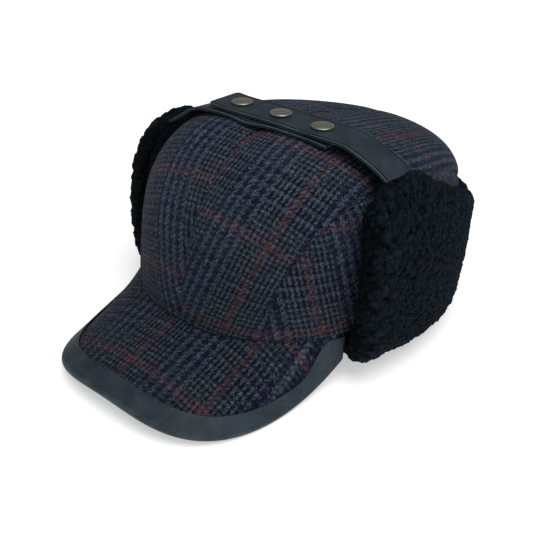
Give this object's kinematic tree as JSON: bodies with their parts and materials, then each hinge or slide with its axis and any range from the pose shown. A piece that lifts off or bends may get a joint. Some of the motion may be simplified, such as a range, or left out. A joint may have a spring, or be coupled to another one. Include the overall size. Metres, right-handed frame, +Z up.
{
  "type": "earflap cap",
  "caption": "A brimmed winter cap: a cloth crown, a wide bound peak and a band of pile earflaps folded up round the sides and back, held by straps that snap over the top.",
  "frame": {"origin": "on the surface the cap rests on, under the middle of the whole cap's box", "axes": "+X is the wearer's left, -Y is where the peak points, +Z is up"},
  "size_m": [0.2036, 0.2799, 0.1265],
  "materials": {
    "plaid_wool": "woven wool check, matte",
    "coated_cloth": "coated cloth, satin",
    "boa_pile": "curly pile, matte",
    "aged_nickel": "dark aged nickel, brushed"
  },
  "bodies": {
    "root": {"crown_top_left": "plaid_wool", "crown_top_right": "plaid_wool", "crown_side_left": "plaid_wool", "crown_side_right": "plaid_wool", "peak": "plaid_wool", "peak_binding": "coated_cloth", "flap_cloth_left": "plaid_wool", "flap_cloth_right": "plaid_wool", "flap_boa_left": "boa_pile", "flap_boa_right": "boa_pile", "strap_upper": "coated_cloth", "strap_lower": "coated_cloth", "snap_1": "aged_nickel", "snap_2": "aged_nickel", "snap_3": "aged_nickel"}
  },
  "joints": []
}
